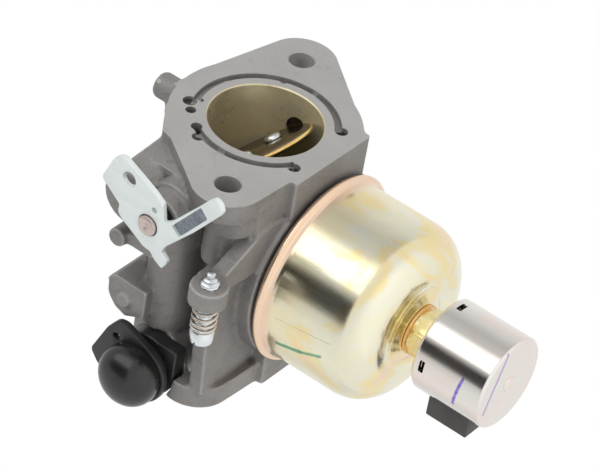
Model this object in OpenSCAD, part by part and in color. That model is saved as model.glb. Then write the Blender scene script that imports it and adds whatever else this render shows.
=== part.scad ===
// Side-draught float carburetor with a fuel shut-off solenoid.
// Installed position: +Z up, bore along Y, engine flange face at y = 0 facing +Y,
// shafts along X with the levers on the +X side. The origin is the bore centre
// on the engine flange face.

/* [Bore and flanges] */
// Diameter of the throttle bore at the engine flange
bore_d = 30; // [29:0.5:31]
// Diameter of the choke bore at the air flange
choke_bore_d = 33; // [32:0.5:34]
// Diameter of the venturi throat
venturi_d = 22; // [20:1:24]
// Distance between the two flange faces
body_len = 66; // [66:1:68]
// Thickness of each flange
flange_t = 6; // [5:0.5:7]
// Mounting hole offset from the bore centre, sideways
hole_x = 27.5; // [27:0.5:28]
// Mounting hole offset from the bore centre, up or down
hole_z = 10.1; // [9.5:0.1:10.5]
// Diameter of the mounting holes
hole_d = 6.8; // [6.4:0.1:7]
// Radius of the lobe around each mounting hole
lobe_r = 9.5; // [9:0.1:10]
// Radius of the round part of the flange
disc_r = 25.2; // [24.8:0.1:25.6]

/* [Shafts] */
// Distance of the throttle shaft from the engine flange face
throttle_y = 10.3; // [10:0.1:11]
// Distance of the choke shaft from the engine flange face
choke_y = 60.5; // [60:0.1:61]
// Diameter of both shafts
shaft_d = 6.3; // [6:0.1:6.5]
// Thickness of the throttle and choke plates
plate_t = 1; // [0.8:0.1:1.2]
// Throttle opening at rest, measured from the closed plate
throttle_open = 42; // [35:1:43]
// Running clearance around each shaft
run_gap = 0.05; // [0.02:0.01:0.08]

/* [Float bowl] */
// Distance of the bowl axis from the engine flange face
bowl_y = 33.8; // [33:0.1:34.5]
// Radius of the bowl wall
bowl_r = 25.1; // [24.8:0.1:25.4]
// Radius of the bowl rim
rim_r = 26.9; // [26.5:0.1:27.2]
// Depth of the float chamber lid below the bore centre
lid_z = 22.2; // [22:0.1:22.6]
// Depth of the bowl bottom below the bore centre
bowl_z = 56; // [55.5:0.1:56.5]
// Shoulder radius of the bowl
shoulder_r = 11; // [9:0.5:12]
// Sheet thickness of the bowl
sheet_t = 0.9; // [0.7:0.1:1]

/* [Solenoid] */
// Diameter of the solenoid can
can_d = 25.7; // [25:0.1:26]
// Depth of the solenoid end face below the bore centre
can_end_z = 84.5; // [84:0.1:86]
// Depth of the can edge next to the bowl
can_top_z = 63.4; // [63:0.1:64]

/* [Levers and screws] */
// Where the outer face of the throttle lever lies
lever_x = 44.6; // [44:0.1:45]
// Thickness of the stamped throttle lever
lever_t = 1.6; // [1.4:0.1:2]
// Sideways place of the idle-speed screw
idle_x = 43; // [42:0.1:43.5]
// Depth of the idle-speed screw below the bore centre
idle_z = 20; // [19.5:0.1:20.5]

/* [Hidden] */
$fn = 96;

bore_r = bore_d / 2;
shaft_r = shaft_d / 2;
step_x = 15;
ledge_z = 20.2;
block_len = 11.5;
gasket_t = 0.8;
bowl_top_z = lid_z + gasket_t;
bowl_h = bowl_z - bowl_top_z;
can_r = can_d / 2;
can_wall = 1.2;
pin_x = -20;
pin_z = 28.5;
seat_x = -15;
plug_w = 12;
plug_z_low = 66.4;
plug_z_high = 79;
plug_end_y = 18.4;
stand_z = 47;
arm_top_z = 31;
collar_x = 32;
notch_turns = [6, 96, 186];

module along_y(r, y_low, y_high) {
    translate([0, y_high, 0])
        rotate([90, 0, 0])
            cylinder(r = r, h = y_high - y_low);
}

module along_x(r, x_low, x_high) {
    translate([x_low, 0, 0])
        rotate([0, 90, 0])
            cylinder(r = r, h = x_high - x_low);
}

// Extrudes an XZ outline from y_face towards -Y
module slab_y(y_face, thick) {
    translate([0, y_face, 0])
        rotate([90, 0, 0])
            linear_extrude(thick)
                children();
}

// Extrudes a YZ outline from x_low towards +X
module slab_x(x_low, thick) {
    translate([x_low, 0, 0])
        rotate([90, 0, 90])
            linear_extrude(thick)
                children();
}

// Flange outline seen along the bore: a disc, two lobes and a flat foot
module flange_outline() {
    difference() {
        union() {
            circle(disc_r);
            for (side = [-1, 1])
                translate([side * hole_x, -side * hole_z])
                    circle(lobe_r);
            polygon([[-2, 25.1], [-29.8, 19.3], [-hole_x, hole_z], [-35.6, 5], [-15.3, -20.4],
                [-15.3, -lid_z], [step_x, -lid_z], [step_x, -ledge_z],
                [28.2, -19.6], [hole_x, -hole_z], [35.4, -4.9], [24.4, 11],
                [23.4, 14.6], [14.4, 21.1]]);
        }
        translate([-40, -lid_z - 20])
            square([80, 20]);
        translate([step_x, -ledge_z - 10])
            square([12, 10]);
    }
}

// Centre body, flanges, bosses, webs and the lid of the float chamber
module casting_solid() {
    slab_y(0, flange_t)
        flange_outline();
    slab_y(-body_len + flange_t, flange_t)
        flange_outline();
    along_y(21, -body_len + 1, -1);
    // flat-bottomed foot between the flanges
    translate([-15.3, -block_len, -lid_z])
        cube([30.3, block_len, 12]);
    translate([-15.3, -body_len, -lid_z])
        cube([30.3, 12, 12]);
    // lid of the float chamber
    translate([0, -bowl_y, -lid_z])
        cylinder(r = rim_r - 0.6, h = 4.2);
    translate([0, -bowl_y, -lid_z + 1])
        cylinder(r = 22.5, h = 17);
    translate([seat_x, -bowl_y, -26])
        cylinder(r = 4.4, h = 8);
    // fuel stand that the solenoid fitting screws into
    translate([0, -bowl_y, -stand_z])
        cylinder(r = 7, h = 31);
    throttle_boss();
    choke_boss();
    side_wall();
    idle_bracket();
    top_stub();
    inlet_boss();
    float_ears();
    lobe_pillar();
}

module throttle_boss() {
    translate([0, -throttle_y, 0]) {
        along_x(7.6, 0, 36);
        along_x(8, -30, 0);
        along_x(6.4, 35, 40.6);
    }
    // large boss above the shaft, up to the back of the lever
    translate([14, -11, 10.6])
        rotate([0, 90, 0])
            cylinder(r1 = 9, r2 = 7.6, h = 25.6);
    translate([39, -11, 10.6])
        rotate([0, 90, 0])
            cylinder(r1 = 7.6, r2 = 6.4, h = 1.2);
    // raised pad beside the engine flange
    translate([16, -11, 0])
        cube([16, 8.5, 11]);
}

module choke_boss() {
    translate([0, -choke_y, 0]) {
        along_x(9.4, 0, collar_x);
        along_x(8, -30, 0);
    }
    translate([18, -choke_y - 5.5, -9.4])
        cube([collar_x - 18, 8, 14]);
}

module side_wall() {
    // round column that runs along the bore on the lever side
    translate([27.2, 0, 2.4])
        along_y(6.6, -choke_y + 9.2, -throttle_y);
    translate([12, -choke_y, -4])
        cube([16, choke_y - throttle_y, 12]);
    // block with a flat upper face towards the engine flange
    slab_x(18, 19)
        polygon([[-38.6, 2.6], [-38.6, 13], [-40.6, 15.2], [-45.4, 14.6], [-48.4, 12],
            [-49.6, 8.4], [-47, 2.6]]);
    translate([0, -44.2, 9])
        along_x(2.2, 30, 38.2);
    // small round lug behind the throttle lever
    translate([0, -27.4, 14.4])
        along_x(2.6, 16, 37);
    translate([14, -29.2, 4])
        cube([21, 3.6, 10]);
    // stiffening rib between the lugs
    translate([14, -44, 8])
        cube([13, 34, 4]);
}

module idle_bracket() {
    // arm from the body foot out to the screw boss
    translate([0, 0, -ledge_z - 0.6])
        linear_extrude(4.6)
            polygon([[10, -12], [23.5, -10.8], [30, -14.2], [37.6, -17.8], [idle_x, -17.8],
                [idle_x, -23.4], [33, -23.4], [28.4, -23.8], [12, -24]]);
    translate([idle_x, 0, -idle_z])
        along_y(5, -23.4, -17.8);
    // web from the arm down to the air flange
    translate([0, 0, -17.6])
        linear_extrude(4.4)
            polygon([[22, -20], [39.6, -20], [38.2, -30], [36.4, -45], [35.2, -61], [12, -61],
                [15.1, -47.5], [23.2, -33.9]]);
}

module lobe_pillar() {
    // stepped pillar under the engine flange lobe
    translate([25.4, 0, -11.6])
        along_y(7.8, -12, -4);
    translate([24, 0, -11])
        along_y(6.8, -24, -4);
    translate([12, -choke_y, -15])
        cube([10, choke_y - 12, 12]);
    translate([14, -15.5, -ledge_z])
        cube([12, 12, 10]);
}

module top_stub() {
    // round stub that holds the idle mixture screw
    translate([4.6, -3.7, 14])
        cylinder(r = 3.65, h = 16);
    translate([4.6, -3.7, 30])
        cylinder(r1 = 3.65, r2 = 2.9, h = 1);
    translate([0.95, -9, 18])
        cube([7.3, 5.3, 8]);
}

module inlet_boss() {
    translate([0, -44, -15.5])
        along_x(5.5, -27, 0);
}

module float_ears() {
    for (side = [-1, 1])
        translate([pin_x - 2.1, -bowl_y + side * 6.6 - 1.1, -pin_z - 2.1])
            cube([4.2, 2.2, 10]);
}

module venturi_profile() {
    rotate([90, 0, 0])
        rotate_extrude()
            polygon([[0, -1], [bore_r, -1], [bore_r, 16.5], [bore_r - 0.6, 19],
                [venturi_d / 2 + 0.4, bowl_y - 2.5], [venturi_d / 2, bowl_y],
                [venturi_d / 2, bowl_y + 3], [venturi_d / 2 + 0.5, bowl_y + 5.5],
                [choke_bore_d / 2 - 0.9, 48], [choke_bore_d / 2, 50],
                [choke_bore_d / 2, body_len + 1], [0, body_len + 1]]);
}

module groove() {
    // seal groove around the engine end of the bore, open over two short lengths
    difference() {
        slab_y(0.5, 2.6)
            difference() {
                circle(19.6);
                circle(17.6);
            }
        slab_y(1, 4) {
            rotate(49)
                polygon([[0, 0], [26, -9], [26, 9]]);
            rotate(-93)
                polygon([[0, 0], [26, -16], [26, 16]]);
        }
    }
    // pockets at the groove ends and beside the bore
    for (spot = [[10, -17.2, 1.7], [-11, -16, 1.7], [-16.6, 7.4, 1.2], [8.6, 18, 1.9],
            [11.4, 15.4, 1.4], [15.6, 10, 1.5], [18.6, 7, 1.6], [6.2, 16.2, 0.7]])
        translate([spot[0], -4, spot[1]])
            rotate([-90, 0, 0])
                cylinder(r = spot[2], h = 5, $fn = 24);
}

module body_casting() {
    color([0.62, 0.61, 0.6])
        difference() {
            casting_solid();
            venturi_profile();
            groove();
            // straight way through both flanges for each long stud
            for (side = [-1, 1])
                translate([side * hole_x, 0, -side * hole_z])
                    along_y(hole_d / 2, -body_len - 1, 1);
            // shaft bores and their seal counterbores
            translate([0, -throttle_y, 0]) {
                along_x(shaft_r + run_gap, -27, 45);
                along_x(5, 38.4, 45);
            }
            translate([0, -choke_y, 0]) {
                along_x(shaft_r + run_gap, -27, 45);
                along_x(9.3, collar_x, 45);
            }
            // flat air face across the bosses
            translate([-50, -body_len - 20, -50])
                cube([100, 20, 100]);
            casting_hollows();
        }
}

module casting_hollows() {
    // thread of the solenoid fitting, jet well and emulsion well
    translate([0, -bowl_y, -stand_z - 1])
        cylinder(r = 5, h = 9);
    translate([0, -bowl_y, -40])
        cylinder(r = 2.6, h = 6);
    translate([0, -bowl_y, -35])
        cylinder(r = 2.4, h = 31);
    // idle jet well beside it
    translate([3.85, -bowl_y, -40])
        cylinder(r = 1.1, h = 12);
    // float chamber roof
    translate([0, -bowl_y, -lid_z - 1])
        difference() {
            cylinder(r = 21.6, h = 3.6);
            translate([0, 0, -1])
                cylinder(r = 8.5, h = 6);
            translate([-24, -9, -1])
                cube([14, 18, 6]);
        }
    // fuel inlet and its seat
    translate([0, -44, -15.5])
        along_x(2.75, -28, -18);
    translate([0, -44, -15.5])
        along_x(1.5, -20, -13);
    translate([seat_x, -bowl_y, -27])
        cylinder(r = 3, h = 6);
    translate([seat_x, -bowl_y, -22])
        cylinder(r = 1.2, h = 6.5);
    translate([seat_x, -44, -15.5])
        rotate([-90, 0, 0])
            cylinder(r = 1.2, h = 10.2);
    // float pin bore through both ears
    translate([pin_x, 0, -pin_z])
        along_y(1, -bowl_y - 9, -bowl_y + 9);
    // idle-speed screw thread
    translate([idle_x, 0, -idle_z])
        along_y(2.55, -25, -15);
    // idle mixture screw well
    translate([4.6, -3.7, 17])
        cylinder(r = 2.05, h = 15);
    translate([4.6, -3.7, 24])
        cylinder(r = 2.7, h = 8);
    translate([4.6, -3.7, 12])
        cylinder(r = 0.7, h = 6, $fn = 24);
    // plug seats on the top of the body
    translate([-6, -46, 19])
        cylinder(r = 4, h = 6);
    translate([-6, -20, 19])
        cylinder(r = 3, h = 6);
}

// Outline of the bowl beside its axis, from the bottom up
module bowl_profile(r, corner, height) {
    square([r - corner, height]);
    translate([0, corner])
        square([r, height - corner]);
    translate([r - corner, corner])
        circle(corner);
}

module float_bowl() {
    color([0.86, 0.78, 0.5])
        translate([0, -bowl_y, -bowl_z])
            rotate_extrude()
                difference() {
                    union() {
                        bowl_profile(bowl_r, shoulder_r, bowl_h - 1);
                        translate([0, bowl_h - 1.8])
                            square([rim_r - 0.9, 1.8]);
                        translate([rim_r - 0.9, bowl_h - 0.9])
                            circle(0.9);
                    }
                    translate([0, sheet_t])
                        bowl_profile(bowl_r - sheet_t, shoulder_r - sheet_t, bowl_h);
                    translate([-5.2, -1])
                        square([10.4, 4]);
                    translate([-60, -1])
                        square([60, 60]);
                }
}

module bowl_gasket() {
    color([0.15, 0.15, 0.15])
        translate([0, -bowl_y, -bowl_top_z])
            difference() {
                cylinder(r = rim_r - 1.6, h = gasket_t);
                translate([0, 0, -1])
                    cylinder(r = bowl_r - 1.5, h = 3);
            }
}

module bowl_washer() {
    color([0.83, 0.52, 0.3])
        translate([0, -bowl_y, -bowl_z - 1])
            difference() {
                cylinder(r = 7, h = 1);
                translate([0, 0, -1])
                    cylinder(r = 5.05, h = 3);
            }
}

// Threaded stem, hexagon and neck in one turned piece
module solenoid_fitting() {
    color([0.85, 0.8, 0.55])
        translate([0, -bowl_y, 0])
            difference() {
                union() {
                    translate([0, 0, -bowl_z - 1])
                        cylinder(r = 5, h = bowl_z - 38.7);
                    translate([0, 0, -can_top_z + 0.4])
                        cylinder(r = 7.2, h = can_top_z - bowl_z - 1.4, $fn = 6);
                    translate([0, 0, -can_top_z - 3])
                        cylinder(r = 5.6, h = 4);
                }
                // plunger bore and fuel way to the main jet
                translate([0, 0, -can_top_z - 4])
                    cylinder(r = 4.1, h = 8);
                translate([0, 0, -can_top_z])
                    cylinder(r = 2.1, h = 30);
                translate([-8, 0, -50.5])
                    rotate([0, 90, 0])
                        cylinder(r = 1.5, h = 16);
            }
}

// Drawn can with a closed end, a window for the plug and three crimp windows
module solenoid_can() {
    color([0.86, 0.83, 0.81])
        translate([0, -bowl_y, -can_end_z])
            difference() {
                rotate_extrude()
                    difference() {
                        union() {
                            translate([0, 1.2])
                                square([can_r, can_end_z - can_top_z - 1.2]);
                            square([can_r - 1.2, 3]);
                            translate([can_r - 1.2, 1.2])
                                circle(1.2);
                        }
                        translate([-1, can_wall])
                            square([can_r - can_wall + 1, 40]);
                        translate([-20, -1])
                            square([20, 60]);
                    }
                translate([0, 0, -1])
                    cylinder(r = 2, h = 4);
                translate([-plug_w / 2, -can_r - 1, can_end_z - plug_z_high])
                    cube([plug_w, 5, plug_z_high - plug_z_low]);
                // windows where tabs of the wall are bent over the cap
                for (turn = notch_turns)
                    rotate(turn)
                        translate([can_r - 3, -1.7, can_end_z - can_top_z - 3.5])
                            cube([4, 3.4, 1.5]);
            }
}

// Steel disc that closes the can
module solenoid_cap() {
    color([0.8, 0.78, 0.72])
        translate([0, -bowl_y, -can_top_z - 2])
            difference() {
                cylinder(r = can_r - can_wall, h = 2);
                translate([0, 0, -1])
                    cylinder(r = 5.6, h = 4);
            }
}

module solenoid_core() {
    color([0.75, 0.75, 0.75])
        translate([0, -bowl_y, -can_end_z])
            difference() {
                union() {
                    translate([0, 0, -0.4])
                        cylinder(r = 2, h = 3);
                    translate([0, 0, can_wall])
                        cylinder(r = 4, h = 6.3);
                }
                translate([0, 0, 5])
                    cylinder(r = 2.2, h = 4);
            }
}

module solenoid_bobbin() {
    color([0.2, 0.2, 0.22])
        translate([0, -bowl_y, -can_end_z + can_wall])
            difference() {
                union() {
                    cylinder(r = can_r - can_wall - 0.2, h = 1.2);
                    cylinder(r = 5.2, h = 15.6);
                    translate([0, 0, 14.4])
                        cylinder(r = can_r - can_wall - 0.2, h = 1.2);
                }
                translate([0, 0, -1])
                    cylinder(r = 4.3, h = 20);
            }
}

module solenoid_coil() {
    color([0.72, 0.4, 0.2])
        translate([0, -bowl_y, -can_end_z + can_wall + 1.2])
            difference() {
                cylinder(r = 9.6, h = 13.2);
                translate([0, 0, -1])
                    cylinder(r = 5.2, h = 20);
            }
}

module solenoid_plunger() {
    color([0.7, 0.7, 0.7])
        translate([0, -bowl_y, 0])
            difference() {
                union() {
                    translate([0, 0, -74.5])
                        cylinder(r = 3.9, h = 13.5);
                    translate([0, 0, -61.5])
                        cylinder(r = 1.4, h = 20.5);
                    translate([0, 0, -41])
                        cylinder(r1 = 1.4, r2 = 0.5, h = 1.7);
                }
                translate([0, 0, -75])
                    cylinder(r = 2.2, h = 5);
            }
}

// Helix of round wire, swept as rings that close on themselves
function coil_frame(radius, pitch, t) = [radius * cos(t), radius * sin(t), pitch * t / 360];

function coil_ring(radius, pitch, wire, t, sides) =
    [for (k = [0:sides - 1])
        let (a = 360 * k / sides)
            coil_frame(radius, pitch, t)
                + wire * cos(a) * [cos(t), sin(t), 0]
                + wire * sin(a) * [0, 0, 1]];

module coil_spring(radius, pitch, wire, turns, steps = 20, sides = 8) {
    count = turns * steps;
    points = [for (i = [0:count])
        each coil_ring(radius, pitch, wire, 360 * i / steps, sides)];
    sides_mesh = [for (i = [0:count - 1], k = [0:sides - 1])
        [i * sides + k, i * sides + (k + 1) % sides,
            (i + 1) * sides + (k + 1) % sides, (i + 1) * sides + k]];
    first_cap = [for (k = [sides - 1:-1:0]) k];
    last_cap = [for (k = [0:sides - 1]) count * sides + k];
    polyhedron(points, concat([first_cap], sides_mesh, [last_cap]), convexity = 10);
}

module plunger_spring() {
    color([0.6, 0.6, 0.62])
        translate([0, -bowl_y, -79.2])
            coil_spring(1.7, 1.42, 0.25, 6, 14, 6);
}

module solenoid_connector() {
    color([0.27, 0.25, 0.25])
        difference() {
            translate([-plug_w / 2, -bowl_y - plug_end_y, -plug_z_high])
                cube([plug_w, plug_end_y - 11.6, plug_z_high - plug_z_low]);
            // socket that opens towards -Y
            translate([-plug_w / 2 + 1.3, -bowl_y - plug_end_y - 1, -plug_z_high + 1.2])
                cube([plug_w - 2.6, 7.2, plug_z_high - plug_z_low - 2.4]);
        }
}

module connector_terminals() {
    color([0.85, 0.8, 0.6])
        for (side = [-1, 1])
            translate([-1.4, -bowl_y - plug_end_y + 1.2,
                    -(plug_z_low + plug_z_high) / 2 + side * 3.4 - 0.4])
                cube([2.8, 5, 0.8]);
}

module main_jet() {
    color([0.85, 0.7, 0.35])
        translate([0, -bowl_y, -39])
            difference() {
                cylinder(r = 2.6, h = 5);
                translate([0, 0, -1])
                    cylinder(r = 0.6, h = 8);
                translate([-3, -0.4, -1])
                    cube([6, 0.8, 1.8]);
            }
}

// Emulsion tube with its air holes; the nozzle stands in the venturi
module emulsion_tube() {
    color([0.85, 0.7, 0.35])
        translate([0, -bowl_y, -34])
            difference() {
                union() {
                    cylinder(r = 2.4, h = 4);
                    cylinder(r = 1.9, h = 28);
                    translate([0, 0, 18])
                        cylinder(r = 2.4, h = 10);
                }
                translate([0, 0, -1])
                    cylinder(r = 1.2, h = 32);
                for (level = [8, 12, 16], turn = [0, 90])
                    translate([0, 0, level])
                        rotate([90, 0, turn])
                            cylinder(r = 0.4, h = 6, center = true, $fn = 24);
            }
}

module idle_jet() {
    color([0.85, 0.7, 0.35])
        translate([3.85, -bowl_y, -39])
            difference() {
                cylinder(r = 1.1, h = 6);
                translate([0, 0, -1])
                    cylinder(r = 0.35, h = 10, $fn = 24);
            }
}

// Brass hose nipple with two barbs
module fuel_inlet() {
    color([0.85, 0.7, 0.35])
        translate([0, -44, -15.5])
            rotate([0, -90, 0])
                difference() {
                    union() {
                        translate([0, 0, 19])
                            cylinder(r = 2.75, h = 27);
                        translate([0, 0, 28])
                            cylinder(r = 4, h = 1.5);
                        for (step = [34, 39])
                            translate([0, 0, step])
                                cylinder(r1 = 3.5, r2 = 2.75, h = 3.5);
                    }
                    translate([0, 0, 18])
                        cylinder(r = 1.6, h = 30);
                }
}

module inlet_seat() {
    color([0.85, 0.7, 0.35])
        translate([seat_x, -bowl_y, -26])
            difference() {
                cylinder(r = 3, h = 5);
                translate([0, 0, -1])
                    cylinder(r = 1.6, h = 4);
                translate([0, 0, 2])
                    cylinder(r = 0.9, h = 5);
            }
}

module inlet_needle() {
    color([0.3, 0.3, 0.3])
        translate([seat_x, -bowl_y, -arm_top_z + 0.05]) {
            cylinder(r = 0.5, h = 0.7);
            translate([0, 0, 0.6])
                cylinder(r = 1.45, h = 6.6);
            translate([0, 0, 7.1])
                cylinder(r1 = 1.1, r2 = 0.3, h = 1.3);
        }
}

// Ring float with a flat side for the needle, and a hinge arm
module main_float() {
    color([0.12, 0.12, 0.12])
        difference() {
            union() {
                translate([0, -bowl_y, -44.5])
                    difference() {
                        cylinder(r = 21, h = 12);
                        translate([-30, -30, -1])
                            cube([22, 60, 20]);
                    }
                translate([-17, -bowl_y - 10, -33.6])
                    cube([11, 20, 33.6 - arm_top_z]);
                translate([pin_x + 1, -bowl_y - 4, -33.6])
                    cube([4, 8, 33.6 - arm_top_z]);
                translate([pin_x, 0, -pin_z])
                    along_y(2.1, -bowl_y - 4.6, -bowl_y + 4.6);
                translate([pin_x - 1.6, -bowl_y - 4, -32.6])
                    cube([3.2, 8, 3.4]);
            }
            translate([0, -bowl_y, -50])
                cylinder(r = 9.8, h = 30);
            translate([pin_x, 0, -pin_z])
                along_y(1.05, -bowl_y - 6, -bowl_y + 6);
        }
}

module float_pin() {
    color([0.75, 0.75, 0.75])
        translate([pin_x, 0, -pin_z])
            along_y(1, -bowl_y - 8.4, -bowl_y + 8.4);
}

// Shaft cut half away where the plate sits; turn is the plate's angle from closed,
// plus half a turn where the plate is on the engine side of the shaft
module butterfly_shaft(x_low, x_high, flat_half, turn) {
    difference() {
        along_x(shaft_r, x_low, x_high);
        rotate([turn, 0, 0])
            translate([-flat_half, -10, -10])
                cube([2 * flat_half, 10, 20]);
        for (x = [-6, 6])
            rotate([turn, 0, 0])
                translate([x, -5, 0])
                    rotate([-90, 0, 0])
                        cylinder(r = 1.25, h = 10);
    }
}

module butterfly_plate(r, turn) {
    rotate([turn, 0, 0])
        difference() {
            along_y(r, -plate_t, 0);
            for (x = [-6, 6])
                translate([x, 0, 0])
                    along_y(1.25, -3, 2);
        }
}

module butterfly_screws(turn) {
    rotate([turn, 0, 0])
        for (x = [-6, 6])
            translate([x, 0, 0])
                difference() {
                    union() {
                        along_y(1.25, -plate_t, 3);
                        along_y(2.4, -plate_t - 1.4, -plate_t);
                    }
                    translate([-3, -plate_t - 2, -0.35])
                        cube([6, 1.3, 0.7]);
                }
}

module throttle_shaft() {
    color([0.75, 0.74, 0.72])
        translate([0, -throttle_y, 0]) {
            butterfly_shaft(-26.5, lever_x - lever_t, bore_r, throttle_open + 180);
            intersection() {
                along_x(shaft_r - 0.1, lever_x - lever_t, lever_x + 1);
                translate([30, -5, -2.3])
                    cube([20, 10, 4.6]);
            }
        }
}

module throttle_plate() {
    color([0.8, 0.65, 0.35])
        translate([0, -throttle_y, 0])
            butterfly_plate(bore_r - 0.12, throttle_open + 180);
}

module throttle_plate_screws() {
    color([0.8, 0.78, 0.72])
        translate([0, -throttle_y, 0])
            butterfly_screws(throttle_open + 180);
}

// Stamped lever: head with a link hole, slotted arm and short stop tab
module throttle_lever() {
    color([0.86, 0.9, 0.89])
        translate([0, -throttle_y, 0])
            difference() {
                slab_x(lever_x - lever_t, lever_t)
                    lever_outline();
                // double-D seat of the shaft end
                intersection() {
                    along_x(shaft_r - 0.1, lever_x - lever_t - 1, lever_x + 1);
                    translate([30, -5, -2.3])
                        cube([20, 10, 4.6]);
                }
                translate([0, 9.9, 7.5])
                    along_x(2.1, lever_x - lever_t - 1, lever_x + 1);
                translate([0, 5.4, -1.3])
                    along_x(0.8, lever_x - lever_t - 1, lever_x + 1);
                // slot along the arm
                slab_x(lever_x - 0.9, 4)
                    polygon([[12.9, -13.3], [10.6, -15.9], [2.9, -10.2], [5, -7.7]]);
            }
}

module lever_outline() {
    polygon([[6.4, 15.7], [5.4, 15.4], [1, 9.4], [-1.4, 9.6], [-2.7, 8.3], [-7, 0.6],
        [-7.3, -2], [-8.7, -3], [-10.3, -6], [-7.6, -7.4], [-5.6, -5.2], [-3.6, -5.8],
        [6.1, -13.9], [15.6, -20.9], [16.8, -21.2], [18.6, -20.2], [19.3, -18.4],
        [18, -17], [13.3, -13.4], [5.3, -7], [3.4, -4.6], [8.4, -3.6], [10.4, -0.6],
        [15.2, 9.6], [15, 11.2], [13.6, 12.8]]);
}

module throttle_seal() {
    color([0.16, 0.16, 0.16])
        translate([0, -throttle_y, 0])
            difference() {
                along_x(5, 38.4, 40.4);
                along_x(shaft_r + run_gap, 38, 41);
            }
}

module choke_shaft() {
    color([0.75, 0.74, 0.72])
        translate([0, -choke_y, 0])
            butterfly_shaft(-26.5, 43, choke_bore_d / 2, 0);
}

module choke_plate() {
    color([0.8, 0.65, 0.35])
        translate([0, -choke_y, 0])
            butterfly_plate(choke_bore_d / 2 - 0.15, 0);
}

module choke_plate_screws() {
    color([0.8, 0.78, 0.72])
        translate([0, -choke_y, 0])
            butterfly_screws(0);
}

// Moulded lever: hub on the shaft and an ear with the link hole
module choke_lever() {
    color([0.1, 0.1, 0.1])
        translate([0, -choke_y, 0])
            difference() {
                union() {
                    slab_x(38.6, 2)
                        ear_outline();
                    along_x(7.4, 36.6, 39);
                }
                along_x(shaft_r, 30, 50);
                translate([0, 6.7, 7.3])
                    along_x(1.1, 30, 50);
            }
}

module ear_outline() {
    circle(9.2);
    polygon([[-5.4, 12.2], [-2, 15], [8, 10.6], [11.6, 8], [12.2, 5.2], [8.6, -3.3], [0, 0],
        [-9, 1.5]]);
}

module choke_cap() {
    color([0.08, 0.08, 0.08])
        translate([40.6, -choke_y, 0])
            rotate([0, 90, 0])
                difference() {
                    rotate_extrude()
                        intersection() {
                            union() {
                                square([8.6, 3.6]);
                                translate([0, 1.4])
                                    scale([1, 0.88])
                                        circle(9);
                            }
                            square([8.6, 12]);
                        }
                    translate([0, 0, -1])
                        cylinder(r = shaft_r, h = 3.4);
                }
}

module choke_collar() {
    color([0.1, 0.1, 0.1])
        difference() {
            translate([0, -choke_y, 0]) {
                along_x(9, collar_x, 36.4);
                translate([collar_x, 0, -9])
                    cube([36.4 - collar_x, 8.6, 9]);
            }
            translate([0, -choke_y, 0])
                along_x(shaft_r + run_gap + 0.1, 28, 40);
            // flat side level with the air face
            translate([20, -body_len - 10, -20])
                cube([30, 10, 40]);
        }
}

module idle_speed_screw() {
    color([0.84, 0.86, 0.88])
        translate([idle_x, 0, -idle_z])
            difference() {
                union() {
                    along_y(1.1, -15.8, -13.9);
                    along_y(1.7, -17, -15.6);
                    along_y(2.5, -32, -16.6);
                    along_y(3.1, -35.8, -31.7);
                }
                translate([-4, -37, -0.5])
                    cube([8, 2.4, 1]);
            }
}

module idle_speed_spring() {
    color([0.8, 0.76, 0.7])
        translate([idle_x, -31.25, -idle_z])
            rotate([-90, 0, 0])
                coil_spring(2.95, 1.85, 0.4, 4, 20, 8);
}

// Recessed idle mixture screw with a needle tip
module mixture_screw() {
    color([0.8, 0.72, 0.4])
        translate([4.6, -3.7, 0])
            difference() {
                union() {
                    translate([0, 0, 17])
                        cylinder(r1 = 0.4, r2 = 1.4, h = 3);
                    translate([0, 0, 20])
                        cylinder(r = 2, h = 6);
                    translate([0, 0, 25.8])
                        cylinder(r = 2.5, h = 2.6);
                }
                translate([-3, -0.4, 27.4])
                    cube([6, 0.8, 2]);
                // groove of the sealing ring
                translate([0, 0, 22])
                    difference() {
                        cylinder(r = 3, h = 0.8);
                        translate([0, 0, -1])
                            cylinder(r = 1.5, h = 3);
                    }
            }
}

// Sealing ring that travels with the mixture screw
module mixture_ring() {
    color([0.1, 0.1, 0.1])
        translate([4.6, -3.7, 22.05])
            difference() {
                cylinder(r = 2.02, h = 0.7);
                translate([0, 0, -1])
                    cylinder(r = 1.53, h = 3);
            }
}

module welch_plug() {
    color([0.72, 0.7, 0.66])
        translate([-6, -46, 19])
            cylinder(r = 4, h = 1.6);
}

module transfer_plug() {
    color([0.8, 0.7, 0.4])
        translate([-6, -20, 19])
            cylinder(r = 3, h = 1.8);
}

body_casting();
bowl_gasket();
float_bowl();
bowl_washer();
solenoid_fitting();
solenoid_can();
solenoid_cap();
solenoid_core();
solenoid_bobbin();
solenoid_coil();
solenoid_plunger();
plunger_spring();
solenoid_connector();
connector_terminals();
main_jet();
emulsion_tube();
idle_jet();
fuel_inlet();
inlet_seat();
inlet_needle();
main_float();
float_pin();
throttle_shaft();
throttle_plate();
throttle_plate_screws();
throttle_lever();
throttle_seal();
choke_shaft();
choke_plate();
choke_plate_screws();
choke_lever();
choke_cap();
choke_collar();
idle_speed_screw();
idle_speed_spring();
mixture_screw();
mixture_ring();
welch_plug();
transfer_plug();
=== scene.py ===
import math

import bmesh
import bpy
from mathutils import Matrix, Vector


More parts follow.
